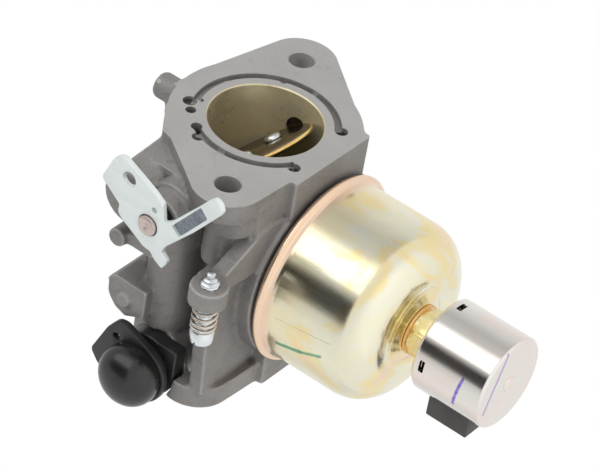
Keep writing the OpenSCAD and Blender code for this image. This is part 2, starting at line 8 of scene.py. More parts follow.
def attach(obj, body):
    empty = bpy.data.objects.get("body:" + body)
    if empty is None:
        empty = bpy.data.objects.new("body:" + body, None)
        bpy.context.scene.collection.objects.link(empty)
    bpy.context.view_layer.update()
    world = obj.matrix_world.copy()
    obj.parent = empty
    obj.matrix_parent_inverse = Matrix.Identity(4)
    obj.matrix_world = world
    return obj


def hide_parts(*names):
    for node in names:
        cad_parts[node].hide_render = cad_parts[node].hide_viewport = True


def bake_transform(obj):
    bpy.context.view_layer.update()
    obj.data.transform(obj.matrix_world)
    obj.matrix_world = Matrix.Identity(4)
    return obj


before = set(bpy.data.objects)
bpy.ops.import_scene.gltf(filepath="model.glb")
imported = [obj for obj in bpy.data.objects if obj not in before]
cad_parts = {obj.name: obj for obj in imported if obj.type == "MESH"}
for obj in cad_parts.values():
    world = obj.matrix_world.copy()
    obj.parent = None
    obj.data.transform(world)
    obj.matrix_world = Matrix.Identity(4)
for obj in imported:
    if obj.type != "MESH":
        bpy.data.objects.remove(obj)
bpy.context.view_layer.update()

MM = 0.001
ROOT = "carburetor_body"
scene = bpy.context.scene

# ---------------------------------------------------------------- camera, floor, light
camera_data = bpy.data.cameras.new("camera")
camera = bpy.data.objects.new("camera", camera_data)
scene.collection.objects.link(camera)
camera.matrix_world = Matrix((
    (-0.61620769, -0.42050906, 0.66592808, 0.60610),
    (0.14154993, 0.77263343, 0.61887091, 0.53598),
    (-0.77475912, 0.47561509, -0.41657963, -0.39531),
    (0, 0, 0, 1)))
camera_data.sensor_width = 36
camera_data.lens = 213.32
camera_data.clip_end = 60
scene.camera = camera


def aim(obj, place, target=(0, -0.033, -0.03)):
    obj.location = place
    obj.rotation_euler = (Vector(target) - Vector(place)).to_track_quat("-Z", "Y").to_euler()


def soft_light(name, place, size, power, tint=(1, 1, 1)):
    data = bpy.data.lights.new(name, "AREA")
    data.shape = "DISK"
    data.size = size
    data.energy = power
    data.color = tint
    obj = bpy.data.objects.new(name, data)
    scene.collection.objects.link(obj)
    obj.visible_glossy = False
    aim(obj, place)


soft_light("overhead", (0.25, 1.1, 0.15), 0.5, 7.0)
soft_light("front", (0.9, 0.35, 0.5), 0.6, 3.0)
soft_light("low_fill", (0.4, -0.5, -0.9), 0.8, 2.0)
scene.view_settings.view_transform = "Standard"


class Nodes:
    """Short hand for building a node tree."""

    def __init__(self, tree):
        self.tree = tree

    def add(self, kind):
        return self.tree.nodes.new(kind)

    def link(self, out, inp):
        self.tree.links.new(out, inp)

    def put(self, inp, value):
        if isinstance(value, bpy.types.NodeSocket):
            self.link(value, inp)
        else:
            inp.default_value = value

    def math(self, op, a, b=0.0, clamp=False):
        node = self.tree.nodes.new("ShaderNodeMath")
        node.operation = op
        node.use_clamp = clamp
        self.put(node.inputs[0], a)
        self.put(node.inputs[1], b)
        return node.outputs[0]

    def vmath(self, op, a, b=(0, 0, 0), scale=None):
        node = self.tree.nodes.new("ShaderNodeVectorMath")
        node.operation = op
        self.put(node.inputs[0], a)
        self.put(node.inputs[1], b)
        if scale is not None:
            self.put(node.inputs["Scale"], scale)
        return node.outputs["Value"] if op in ("LENGTH", "DOT_PRODUCT", "DISTANCE") else node.outputs[0]

    def ramp(self, value, stops, mode="LINEAR"):
        node = self.tree.nodes.new("ShaderNodeValToRGB")
        ramp = node.color_ramp
        ramp.interpolation = mode
        while len(ramp.elements) < len(stops):
            ramp.elements.new(0.5)
        for element, (place, color) in zip(ramp.elements, stops):
            element.position = place
            element.color = (*color, 1) if len(color) == 3 else color
        self.put(node.inputs[0], value)
        return node.outputs[0]

    def step(self, value, low, high, out_low=0.0, out_high=1.0):
        node = self.tree.nodes.new("ShaderNodeMapRange")
        node.interpolation_type = "SMOOTHSTEP"
        self.put(node.inputs["Value"], value)
        node.inputs["From Min"].default_value = low
        node.inputs["From Max"].default_value = high
        node.inputs["To Min"].default_value = out_low
        node.inputs["To Max"].default_value = out_high
        return node.outputs[0]

    def mix(self, factor, a, b, mode="MIX"):
        node = self.tree.nodes.new("ShaderNodeMix")
        node.data_type = "RGBA"
        node.blend_type = mode
        self.put(node.inputs[0], factor)
        for place, value in ((6, a), (7, b)):
            if not isinstance(value, bpy.types.NodeSocket) and len(value) == 3:
                value = (*value, 1)
            self.put(node.inputs[place], value)
        return node.outputs[2]

    def noise(self, coords, scale, detail=4.0, rough=0.5, distort=0.0):
        node = self.tree.nodes.new("ShaderNodeTexNoise")
        self.put(node.inputs["Vector"], coords)
        node.inputs["Scale"].default_value = scale
        node.inputs["Detail"].default_value = detail
        node.inputs["Roughness"].default_value = rough
        node.inputs["Distortion"].default_value = distort
        return node.outputs[0]

    def stretched(self, coords, scale):
        node = self.tree.nodes.new("ShaderNodeMapping")
        self.put(node.inputs["Vector"], coords)
        node.inputs["Scale"].default_value = scale
        return node.outputs[0]

    def bump(self, height, distance, strength=1.0, normal=None):
        node = self.tree.nodes.new("ShaderNodeBump")
        node.inputs["Strength"].default_value = strength
        node.inputs["Distance"].default_value = distance
        self.put(node.inputs["Height"], height)
        if normal is not None:
            self.link(normal, node.inputs["Normal"])
        return node.outputs[0]

    def near_line(self, point, start, end, radius, soft):
        """1 close to the straight line between two points, 0 away from it."""
        start, end = Vector(start), Vector(end)
        along = end - start
        offset = self.vmath("SUBTRACT", point, tuple(start))
        share = self.math("DIVIDE", self.vmath("DOT_PRODUCT", offset, tuple(along)), along.length_squared,
                          True)
        foot = self.vmath("SCALE", tuple(along), scale=share)
        return self.step(self.vmath("DISTANCE", offset, foot), radius - soft, radius + soft, 1.0, 0.0)

    def tint_noise(self, coords, scale):
        node = self.tree.nodes.new("ShaderNodeTexNoise")
        self.put(node.inputs["Vector"], coords)
        node.inputs["Scale"].default_value = scale
        return node.outputs["Color"]


# studio surroundings: white for the camera, softboxes and a dark flag for reflections
world = bpy.data.worlds.new("studio")
scene.world = world
world.use_nodes = True
w = Nodes(world.node_tree)
background = world.node_tree.nodes["Background"]
path = w.add("ShaderNodeLightPath")
direction = w.add("ShaderNodeTexCoord").outputs["Generated"]
split = w.add("ShaderNodeSeparateXYZ")
w.link(direction, split.inputs[0])
turn = w.math("ARCTAN2", split.outputs[1], split.outputs[0])
turn = w.math("ADD", w.math("DIVIDE", turn, 2 * math.pi), 0.5)


def at(degrees):
    return (degrees % 360 + 180) % 360 / 360


studio_stops = [(-180, 0.86), (-140, 0.9), (-90, 0.72), (-60, 0.86), (-20, 0.8), (-4, 0.66), (5, 0.06),
                (26, 0.04), (37, 0.5), (46, 1.9), (70, 1.7), (84, 0.62), (112, 0.5), (140, 0.72), (179, 0.86)]
around = w.ramp(turn, [(at(a) if a < 179 else 1.0, (v, v, v * 0.985)) for a, v in studio_stops])
height = w.step(split.outputs[2], -0.75, -0.25)
around = w.mix(height, (0.55, 0.55, 0.54), around)
cap = w.step(split.outputs[2], 0.72, 0.95)
around = w.mix(cap, around, (0.6, 0.6, 0.6))
around = w.mix(path.outputs["Is Diffuse Ray"], around, (0.36, 0.355, 0.35))
w.link(w.mix(path.outputs["Is Camera Ray"], around, (1, 1, 1)), background.inputs[0])

# ---------------------------------------------------------------- materials


def material(name):
    mat = bpy.data.materials.new(name)
    mat.use_nodes = True
    n = Nodes(mat.node_tree)
    shader = mat.node_tree.nodes["Principled BSDF"]
    where = n.add("ShaderNodeTexCoord").outputs["Object"]
    return mat, n, shader, where


def cast_metal(name, machined=False):
    mat, n, s, p = material(name)
    s.inputs["Metallic"].default_value = 0.55
    s.inputs["Specular IOR Level"].default_value = 0.5
    broad = n.noise(p, 55, 5, 0.6)
    grain = n.noise(p, 1400, 4, 0.65)
    flow = n.noise(n.stretched(p, (1, 3.2, 1)), 260, 3, 0.6, 0.6)
    if machined:
        lines = n.noise(n.stretched(p, (0.35, 1, 4.2)), 900, 3, 0.6)
        color = n.ramp(broad, [(0.25, (0.375, 0.368, 0.36)), (0.55, (0.43, 0.42, 0.41)),
                               (0.8, (0.465, 0.455, 0.44))])
        color = n.mix(n.step(grain, 0.3, 0.75, 0.0, 0.35), color, (0.52, 0.51, 0.5))
        color = n.mix(n.step(flow, 0.6, 0.72, 0.0, 0.35), color, (0.30, 0.29, 0.285))
        n.put(s.inputs["Roughness"], n.step(lines, 0.2, 0.8, 0.42, 0.6))
        rough = n.math("ADD", n.math("MULTIPLY", grain, 0.5), n.math("MULTIPLY", lines, 0.5))
        n.link(n.bump(rough, 0.00004, 0.6), s.inputs["Normal"])
    else:
        edge = n.add("ShaderNodeNewGeometry").outputs["Pointiness"]
        color = n.ramp(broad, [(0.2, (0.185, 0.176, 0.172)), (0.5, (0.258, 0.247, 0.24)),
                               (0.8, (0.345, 0.332, 0.322))])
        color = n.mix(n.step(grain, 0.35, 0.75, 0.0, 0.45), color, (0.39, 0.37, 0.36))
        color = n.mix(n.step(flow, 0.56, 0.74, 0.0, 0.45), color, (0.155, 0.142, 0.136))
        # by pointiness: lighter on sharp convex edges, and near black in concave creases and recesses, which
        # is painted shade
        color = n.mix(n.step(edge, 0.515, 0.56, 0.0, 0.75), color, (0.50, 0.49, 0.475))
        color = n.mix(n.step(edge, 0.49, 0.445, 0.0, 0.85), color, (0.06, 0.053, 0.05))
        n.put(s.inputs["Roughness"], n.step(grain, 0.2, 0.8, 0.48, 0.68))
        rough = n.math("ADD", n.math("MULTIPLY", grain, 0.6), n.math("MULTIPLY", flow, 1.0))
        n.link(n.bump(rough, 0.00013, 0.75), s.inputs["Normal"])
    n.link(color, s.inputs["Base Color"])
    return mat


def bore_metal():
    mat, n, s, p = material("bore_machined")
    s.inputs["Metallic"].default_value = 0.6
    rings = n.noise(n.stretched(p, (0.6, 30, 0.6)), 180, 3, 0.6)
    blotch = n.noise(p, 90, 4, 0.6)
    color = n.ramp(blotch, [(0.2, (0.50, 0.44, 0.28)), (0.5, (0.64, 0.57, 0.37)), (0.8, (0.74, 0.68, 0.50))])
    color = n.mix(n.step(rings, 0.35, 0.7, 0.0, 0.35), color, (0.62, 0.56, 0.43))
    n.link(color, s.inputs["Base Color"])
    n.put(s.inputs["Roughness"], n.step(blotch, 0.2, 0.8, 0.24, 0.4))
    n.link(n.bump(rings, 0.00003, 0.5), s.inputs["Normal"])
    return mat


def plated(name, stops, rough=(0.2, 0.34), scale=45, marks_and_painted_reflections=(), grain=0.00002, rim=None, metallic=1.0):
    """Zinc or chromate plating: patchy tint, fine grain and soft drawing lines."""
    mat, n, s, p = material(name)
    s.inputs["Metallic"].default_value = metallic
    patch = n.noise(n.stretched(p, (1, 1, 0.55)), scale, 4, 0.55, 0.8)
    fine = n.noise(p, 2600, 3, 0.7)
    draw = n.noise(n.stretched(p, (1, 1, 0.06)), 900, 3, 0.6)
    color = n.ramp(patch, stops)
    color = n.mix(n.step(fine, 0.35, 0.8, 0.0, 0.25), color, (0.95, 0.94, 0.9))
    if rim:
        z = n.add("ShaderNodeSeparateXYZ")
        n.link(p, z.inputs[0])
        wave = n.math("ADD", z.outputs[2], n.math("MULTIPLY", n.math("SUBTRACT", patch, 0.5), 0.006))
        for low, high, tint, share in rim:
            mask = n.step(wave, low * MM, high * MM, 0.0, share)
            color = n.mix(mask, color, tint)
    # tinted lines drawn onto the plating; on the bowl the dark green ones are painted reflection
    for start, end, radius, tint, soft in marks_and_painted_reflections:
        wobble = n.vmath("ADD", p,
                         n.vmath("SCALE", n.vmath("SUBTRACT", n.tint_noise(p, 700), (0.5, 0.5, 0.5)),
                                           scale=0.0005))
        mask = n.near_line(wobble, [c * MM for c in start], [c * MM for c in end], radius * MM, soft * MM)
        color = n.mix(n.math("MULTIPLY", mask, 0.85), color, tint)
    n.link(color, s.inputs["Base Color"])
    n.put(s.inputs["Roughness"],
          n.step(n.math("ADD", n.math("MULTIPLY", patch, 0.5), n.math("MULTIPLY", draw, 0.5)),
                                        0.3, 0.7, rough[0], rough[1]))
    n.link(n.bump(n.math("ADD", fine, n.math("MULTIPLY", draw, 0.8)), grain, 0.5), s.inputs["Normal"])
    return mat


def turned_metal(name, light, dark, axis, metallic=1.0, rough=(0.22, 0.4)):
    """Lathe-turned metal with fine rings across the given axis."""
    mat, n, s, p = material(name)
    s.inputs["Metallic"].default_value = metallic
    stretch = [0.4, 0.4, 0.4]
    stretch["xyz".index(axis)] = 14
    rings = n.noise(n.stretched(p, tuple(stretch)), 320, 3, 0.6)
    patch = n.noise(p, 160, 4, 0.6)
    color = n.mix(n.step(patch, 0.25, 0.75), dark, light)
    color = n.mix(n.step(rings, 0.5, 0.75, 0.0, 0.3), color, tuple(min(1.0, c * 1.2) for c in light))
    n.link(color, s.inputs["Base Color"])
    n.put(s.inputs["Roughness"], n.step(rings, 0.25, 0.75, rough[0], rough[1]))
    n.link(n.bump(rings, 0.00003, 0.5), s.inputs["Normal"])
    return mat


def moulded(name, light, dark, rough, grain=0.00005, scale=900, coat=0.0):
    mat, n, s, p = material(name)
    s.inputs["Coat Weight"].default_value = coat
    s.inputs["Coat Roughness"].default_value = 0.08
    patch = n.noise(p, 120, 4, 0.6)
    fine = n.noise(p, scale, 4, 0.7)
    color = n.mix(n.step(patch, 0.25, 0.75), dark, light)
    color = n.mix(n.step(fine, 0.62, 0.8, 0.0, 0.3), color, tuple(c * 1.8 + 0.01 for c in light))
    n.link(color, s.inputs["Base Color"])
    n.put(s.inputs["Roughness"], n.step(patch, 0.2, 0.8, rough[0], rough[1]))
    n.link(n.bump(fine, grain, 0.6), s.inputs["Normal"])
    return mat


CAST = cast_metal("casting_as_cast")
FACE = cast_metal("casting_machined", True)
BORE = bore_metal()
BOWL = plated("bowl_chromate", [
    (0.30, (0.84, 0.88, 0.82)), (0.42, (0.93, 0.88, 0.64)), (0.50, (0.88, 0.86, 0.70)),
    (0.58, (0.96, 0.80, 0.40)), (0.66, (0.95, 0.74, 0.56)), (0.78, (0.80, 0.87, 0.86))],
    rough=(0.13, 0.22), scale=52,
    rim=[(-41, -31, (0.94, 0.76, 0.42), 0.35), (-29, -25.5, (0.94, 0.66, 0.50), 0.8)],
    # the two dark green bands along the bowl's side are painted reflection of a dark flag; the third is a
    # thin greyer line along the side
    marks_and_painted_reflections=[((23.9, -41.3, -30.3), (24.5, -39.1, -37.8), 0.6, (0.05, 0.34, 0.18), 0.25),
           ((24.5, -39.1, -37.8), (25, -36.4, -44.1), 0.45, (0.10, 0.38, 0.22), 0.3),
           ((25.1, -33.1, -29.1), (24.9, -30.7, -47.8), 0.12, (0.62, 0.60, 0.46), 0.1)])
CAN_RING = [(12.86 * math.cos(math.radians(a)), 12.86 * math.sin(math.radians(a)) - 33.8, -77.3 - 0.035 * a)
            for a in (21, 11, 1, -9, -19)]
CAN_MARKS = [(low, high, 0.42, (0.24, 0.16, 0.66), 0.2) for low, high in zip(CAN_RING, CAN_RING[1:])]
CAN_MARKS.append(((3.6, -22, -84.5), (9.8, -38.2, -84.5), 0.4, (0.36, 0.26, 0.66), 0.25))
CAN = plated("can_zinc", [
    (0.25, (0.88, 0.80, 0.77)), (0.42, (0.86, 0.84, 0.80)), (0.55, (0.90, 0.79, 0.75)),
    (0.68, (0.84, 0.84, 0.78)), (0.82, (0.90, 0.82, 0.80))],
    rough=(0.1, 0.19), scale=75, marks_and_painted_reflections=CAN_MARKS)
FITTING = plated("fitting_chromate", [
    (0.3, (0.85, 0.66, 0.28)), (0.5, (0.86, 0.76, 0.40)), (0.7, (0.84, 0.72, 0.45))], rough=(0.2, 0.3),
    scale=150)
WASHER = plated("washer_copper", [
    (0.3, (0.90, 0.52, 0.22)), (0.5, (0.93, 0.60, 0.25)), (0.7, (0.84, 0.46, 0.22))], rough=(0.26, 0.4),
    scale=200)
LEVER = plated("lever_zinc", [
    (0.25, (0.70, 0.76, 0.76)), (0.5, (0.80, 0.86, 0.85)), (0.75, (0.74, 0.80, 0.81))],
    rough=(0.42, 0.55), scale=90, grain=0.00004, metallic=0.6)
# dark blue-grey for the floor of the lever's pocket: painted shade
POCKET_PAINTED_SHADE = plated("lever_pocket_painted_shade", [
    (0.3, (0.10, 0.12, 0.15)), (0.5, (0.17, 0.20, 0.24)), (0.75, (0.26, 0.29, 0.33))], rough=(0.25, 0.4),
    scale=300)
STAKED = turned_metal("shaft_end", (0.74, 0.62, 0.58), (0.58, 0.48, 0.45), "x", 0.9, (0.3, 0.45))
# darker copy of the plate brass for the throttle plate's faces: painted dark reflection
PLATE_FACE_PAINTED_REFLECTION = turned_metal("plate_face_painted_reflection", (0.34, 0.27, 0.16), (0.16, 0.13, 0.09), "x", 1.0, (0.12, 0.24))
# steel shafts, coloured darker than plain steel as a painted dark reflection of the bore
SHAFT_PAINTED_DARK = turned_metal("shaft_steel_painted_dark", (0.30, 0.28, 0.26), (0.15, 0.14, 0.13), "x", 1.0, (0.14, 0.26))
PLATE = turned_metal("plate_brass", (0.95, 0.70, 0.28), (0.80, 0.54, 0.18), "y", 0.85)
SCREW = plated("screw_zinc", [
    (0.3, (0.66, 0.70, 0.74)), (0.5, (0.78, 0.82, 0.85)), (0.7, (0.84, 0.88, 0.92))], rough=(0.18, 0.3),
    scale=300)
SPRING = turned_metal("spring_steel", (0.78, 0.73, 0.66), (0.50, 0.45, 0.40), "y", 1.0, (0.2, 0.34))
STEEL = turned_metal("plain_steel", (0.70, 0.69, 0.68), (0.50, 0.49, 0.48), "z")
BRASS = turned_metal("turned_brass", (0.84, 0.66, 0.30), (0.62, 0.46, 0.20), "z")
COPPER = turned_metal("winding", (0.80, 0.40, 0.20), (0.45, 0.20, 0.10), "z", 1.0, (0.3, 0.5))
BLACK = moulded("black_gloss", (0.012, 0.012, 0.012), (0.006, 0.006, 0.006), (0.2, 0.3), 0.00002, 700, 0.25)
EAR = moulded("black_matt", (0.026, 0.026, 0.026), (0.012, 0.012, 0.012), (0.3, 0.45), 0.00006, 900)
PLUG = moulded("connector_grey", (0.075, 0.068, 0.066), (0.045, 0.041, 0.04), (0.45, 0.6), 0.00006, 1100)
RUBBER = moulded("seal_rubber", (0.03, 0.03, 0.03), (0.015, 0.015, 0.015), (0.6, 0.8), 0.00005, 1200)
FOAM = moulded("float_shell", (0.03, 0.03, 0.035), (0.015, 0.015, 0.018), (0.4, 0.6), 0.00008, 600)

# ---------------------------------------------------------------- mesh helpers


def finish_mesh(name, mesh, mats, body, replaced=(), angle=35):
    """Shades smooth with sharp edges, links the object and makes it ride; with body None it stays unattached.
    """
    obj = bpy.data.objects.new(name, mesh)
    scene.collection.objects.link(obj)
    mesh.materials.clear()
    for mat in mats:
        mesh.materials.append(mat)
    bm = bmesh.new()
    bm.from_mesh(mesh)
    limit = math.radians(angle)
    for face in bm.faces:
        face.smooth = True
    for edge in bm.edges:
        edge.smooth = len(edge.link_faces) == 2 and edge.calc_face_angle(0) < limit
    bm.to_mesh(mesh)
    bm.free()
    if replaced:
        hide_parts(*replaced)
    if body:
        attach(obj, body)
    return obj


def to_mesh(bm, name):
    bmesh.ops.remove_doubles(bm, verts=bm.verts, dist=1e-6)
    bmesh.ops.recalc_face_normals(bm, faces=bm.faces)
    mesh = bpy.data.meshes.new(name)
    bm.to_mesh(mesh)
    bm.free()
    return mesh


def spin_axes(axis):
    return {"x": (Vector((1, 0, 0)), Vector((0, 1, 0)), Vector((0, 0, 1))),
            "y": (Vector((0, 1, 0)), Vector((0, 0, 1)), Vector((1, 0, 0))),
            "z": (Vector((0, 0, 1)), Vector((1, 0, 0)), Vector((0, 1, 0)))}[axis]


def lathe(profile, axis, centre, count=160, shape=None):
    """Closed solid turned from (radius, place on axis) points in mm; shape(turn, r, t) varies the radius."""
    main, one, two = spin_axes(axis)
    centre = Vector(centre)
    bm = bmesh.new()
    rings = []
    closed = profile[0][0] > 1e-9
    for r, t in profile:
        if r < 1e-9:
            rings.append([bm.verts.new((centre + main * t) * MM)])
            continue
        ring = []
        for i in range(count):
            turn = 2 * math.pi * i / count
            rr = shape(turn, r, t) if shape else r
            around = one * math.cos(turn) + two * math.sin(turn)
            ring.append(bm.verts.new((centre + main * t + around * rr) * MM))
        rings.append(ring)
    pairs = list(zip(rings, rings[1:])) + ([(rings[-1], rings[0])] if closed else [])
    for low, high in pairs:
        for i in range(count):
            j = (i + 1) % count
            if len(low) == 1 and len(high) == 1:
                continue
            if len(low) == 1:
                bm.faces.new((low[0], high[j], high[i]))
            elif len(high) == 1:
                bm.faces.new((low[i], low[j], high[0]))
            else:
                bm.faces.new((low[i], low[j], high[j], high[i]))
    return to_mesh(bm, "lathe")


def rounded(points, radius, count=5):
    """Closed outline with each corner rounded."""
    out = []
    total = len(points)
    for i in range(total):
        here = Vector(points[i])
        before = Vector(points[i - 1]) - here
        after = Vector(points[(i + 1) % total]) - here
        reach = min(radius, before.length * 0.45, after.length * 0.45)
        a, b = here + before.normalized() * reach, here + after.normalized() * reach
        for k in range(count + 1):
            u = k / count
            out.append(tuple(a * (1 - u) ** 2 + here * 2 * u * (1 - u) + b * u * u))
    return out


def arc_points(centre, radius, start, stop, count):
    return [(centre[0] + radius * math.cos(math.radians(start + (stop - start) * i / count)),
             centre[1] + radius * math.sin(math.radians(start + (stop - start) * i / count)))
            for i in range(count + 1)]


def circle(centre, radius, count=40):
    return [(centre[0] + radius * math.cos(2 * math.pi * i / count),
             centre[1] + radius * math.sin(2 * math.pi * i / count)) for i in range(count)]


def stamped(outlines, low, high, axis, bevel=0.12):
    """Plate in mm from outlines (the first is the edge, the others are holes) with rounded edges."""
    curve = bpy.data.curves.new("outline", "CURVE")
    curve.dimensions = "2D"
    curve.fill_mode = "BOTH"
    curve.extrude = (high - low) / 2 - bevel
    curve.bevel_depth = bevel
    curve.bevel_resolution = 2
    curve.offset = -bevel
    for outline in outlines:
        spline = curve.splines.new("POLY")
        spline.points.add(len(outline) - 1)
        for point, place in zip(spline.points, outline):
            point.co = (place[0], place[1], 0, 1)
        spline.use_cyclic_u = True
    holder = bpy.data.objects.new("outline", curve)
    scene.collection.objects.link(holder)
    bpy.context.view_layer.update()
    mesh = bpy.data.meshes.new_from_object(holder.evaluated_get(bpy.context.evaluated_depsgraph_get()))
    bpy.data.objects.remove(holder)
    middle = (low + high) / 2
    frames = {"x": Matrix(((0, 0, 1, middle), (1, 0, 0, 0), (0, 1, 0, 0), (0, 0, 0, 1))),
              "y": Matrix(((1, 0, 0, 0), (0, 0, -1, middle), (0, 1, 0, 0), (0, 0, 0, 1))),
              "z": Matrix(((1, 0, 0, 0), (0, 1, 0, 0), (0, 0, 1, middle), (0, 0, 0, 1)))}
    mesh.transform(Matrix.Scale(MM, 4) @ frames[axis])
    bm = bmesh.new()
    bm.from_mesh(mesh)
    return to_mesh(bm, "stamped")


def block(low, high, bevel=0.0, segments=3):
    """Box between two corners in mm, with rounded edges."""
    bm = bmesh.new()
    bmesh.ops.create_cube(bm, size=1)
    low, high = Vector(low), Vector(high)
    for v in bm.verts:
        v.co = Vector([(l + h) / 2 + c * (h - l) for l, h, c in zip(low, high, v.co)]) * MM
    if bevel:
        bmesh.ops.bevel(bm, geom=bm.edges[:], offset=bevel * MM, segments=segments, profile=0.5,
                        affect="EDGES")
    return to_mesh(bm, "block")


def placed(mesh, matrix):
    mesh.transform(matrix)
    return mesh


def turn_about(axis, degrees, centre):
    c = Vector(centre) * MM
    return Matrix.Translation(c) @ Matrix.Rotation(math.radians(degrees), 4, axis) @ Matrix.Translation(-c)


def joined(meshes, name="joined"):
    bm = bmesh.new()
    for mesh in meshes:
        bm.from_mesh(mesh)
    mesh = bpy.data.meshes.new(name)
    bm.to_mesh(mesh)
    bm.free()
    return mesh


def carve(mesh, cutters, how="DIFFERENCE", solver="MANIFOLD"):
    """Boolean of a mesh with each cutter mesh in turn."""
    for cutter in cutters:
        a = bpy.data.objects.new("a", mesh)
        b = bpy.data.objects.new("b", cutter)
        scene.collection.objects.link(a)
        scene.collection.objects.link(b)
        mod = a.modifiers.new("cut", "BOOLEAN")
        mod.operation = how
        mod.solver = solver
        mod.object = b
        bpy.context.view_layer.update()
        result = bpy.data.meshes.new_from_object(a.evaluated_get(bpy.context.evaluated_depsgraph_get()))
        bpy.data.objects.remove(a)
        bpy.data.objects.remove(b)
        mesh = result
    return mesh


def modified(mesh, *steps):
    """Applies simple modifiers, given as (type, settings)."""
    obj = bpy.data.objects.new("work", mesh)
    scene.collection.objects.link(obj)
    for kind, settings in steps:
        mod = obj.modifiers.new(kind.lower(), kind)
        for key, value in settings.items():
            setattr(mod, key, value)
    bpy.context.view_layer.update()
    result = bpy.data.meshes.new_from_object(obj.evaluated_get(bpy.context.evaluated_depsgraph_get()))
    bpy.data.objects.remove(obj)
    return result


def rod(axis, r, low, high, centre=(0, 0, 0), count=96):
    return lathe([(0, low), (r, low), (r, high), (0, high)], axis, centre, count)


def pin(axis, r, low, high, centre, chamfer=0.25, count=96):
    """Turned pin with rounded ends."""
    c = chamfer
    return lathe([(0, low), (r - c, low), (r - 0.3 * c, low + 0.3 * c), (r, low + c),
                  (r, high - c), (r - 0.3 * c, high - 0.3 * c), (r - c, high), (0, high)], axis, centre,
                  count)


# ---------------------------------------------------------------- casting
# pockets in the engine flange face: X, Z, radius and depth in mm
POCKETS = ((10, -17.2, 1.7, 2.2), (-11, -16, 1.7, 2.2), (-16.6, 7.4, 1.2, 2.8), (8.6, 18, 1.9, 1.5),
           (11.4, 15.4, 1.4, 3.4), (15.6, 10, 1.5, 3.4), (18.6, 7, 1.6, 3.2), (6.2, 16.2, 0.7, 1.5))


def cast_body():
    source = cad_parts["body_casting"].data
    bm = bmesh.new()
    bm.from_mesh(source)
    bmesh.ops.remove_doubles(bm, verts=bm.verts, dist=1e-6)
    for v in bm.verts:
        if v.co.y > -1e-5:
            v.co.y = 0.0009
        elif v.co.y < -0.066 + 1e-5:
            v.co.y = -0.0669
    blank = bpy.data.meshes.new("blank")
    bm.to_mesh(blank)
    bm.free()
    plugs = [rod("y", 21.2, -4.4, 0.9), rod("y", 17.2, -66.9, -1), rod("x", 3.6, -26.9, 38, (0, -10.3, 0)),
             rod("x", 5.4, 37.9, 40.6, (0, -10.3, 0)), rod("x", 3.6, -26.9, 31.9, (0, -60.5, 0)),
             rod("y", 2.9, -23.4, -17.8, (43, 0, -20)), rod("z", 3.2, 15, 30.6, (4.6, -3.7, 0))]
    for side in (-1, 1):
        for low, high in ((-5.9, 0.9), (-66.9, -60.1)):
            plugs.append(rod("y", 3.9, low, high, (side * 27.5, 0, -side * 10.1)))
    plugs.append(rod("y", 3.9, -23.9, -4, (27.5, 0, -10.1)))
    blank = joined([blank] + plugs)
    blank = modified(blank,
                     ("REMESH", {"mode": "VOXEL", "voxel_size": 0.00042, "adaptivity": 0.0}),
                     ("SMOOTH", {"factor": 0.5, "iterations": 7}))
    cutters = [block((-60, 0, -60), (60, 10, 60)), block((-60, -80, -60), (60, -66, 60))]
    throat = [(0, -70), (16.9, -70), (16.9, -66), (16.5, -65.6), (16.5, -50), (15.6, -48), (12.2, -40.6),
              (11.3, -38.2), (11, -36.8), (11, -33.8), (11.4, -31.3), (12.4, -28), (13.6, -23), (14.4, -19),
              (15, -16.5), (15, -0.3), (15.3, 0), (15.3, 3), (0, 3)]
    cutters.append(lathe(throat, "y", (0, 0, 0), 192))
    # sealing groove, open over two short lengths, with the pockets at its ends
    for start, stop in ((68, 236), (-62, 30)):
        band = arc_points((0, 0), 19.6, start, stop, 60) + arc_points((0, 0), 17.6, stop, start, 60)
        cutters.append(stamped([band], -1.5, 3, "y", 0.02))
    for x, z, r, deep in POCKETS:
        cutters.append(rod("y", r, -deep, 3, (x, 0, z), 40))
    for side in (-1, 1):
        centre = (side * 27.5, 0, -side * 10.1)
        cutters.append(lathe([(0, -80), (3.4, -80), (3.4, -0.35), (3.75, 0), (3.75, 3), (0, 3)], "y",
                             centre, 72))
    cutters.append(lathe([(0, -27), (3.2, -27), (3.2, 38.4), (5, 38.4), (5, 40.3), (5.3, 40.7), (5.3, 46),
                          (0, 46)],
                         "x", (0, -10.3, 0), 96))
    cutters.append(lathe([(0, -27), (3.2, -27), (3.2, 32), (9.3, 32), (9.3, 46), (0, 46)], "x",
                         (0, -60.5, 0), 96))
    cutters.append(rod("y", 2.55, -28, -14, (43, 0, -20), 64))
    # idle mixture screw well, with its drilling into the bore
    cutters.append(lathe([(0, 12.5), (0.7, 12.5), (0.7, 17), (2.05, 17), (2.05, 24), (2.7, 24), (2.7, 30.6),
                          (2.95, 31.2), (2.95, 34), (0, 34)],
                         "z", (4.6, -3.7, 0), 64))
    mesh = carve(blank, cutters)
    obj = finish_mesh("cast_body", mesh, [CAST, FACE, BORE], ROOT, ["body_casting"], 38)
    for face in mesh.polygons:
        c, normal = face.center, face.normal
        across = math.hypot(c.x, c.z)
        if (abs(c.y) < 2e-5 or abs(c.y + 0.066) < 2e-5) and abs(normal.y) > 0.99:
            face.material_index = 1
        elif across < 0.0167 and -0.0661 < c.y < 0.0002:
            face.material_index = 2
    return obj


cast_body()

# ---------------------------------------------------------------- bowl, washer and fitting
AXIS = (0, -33.8, 0)


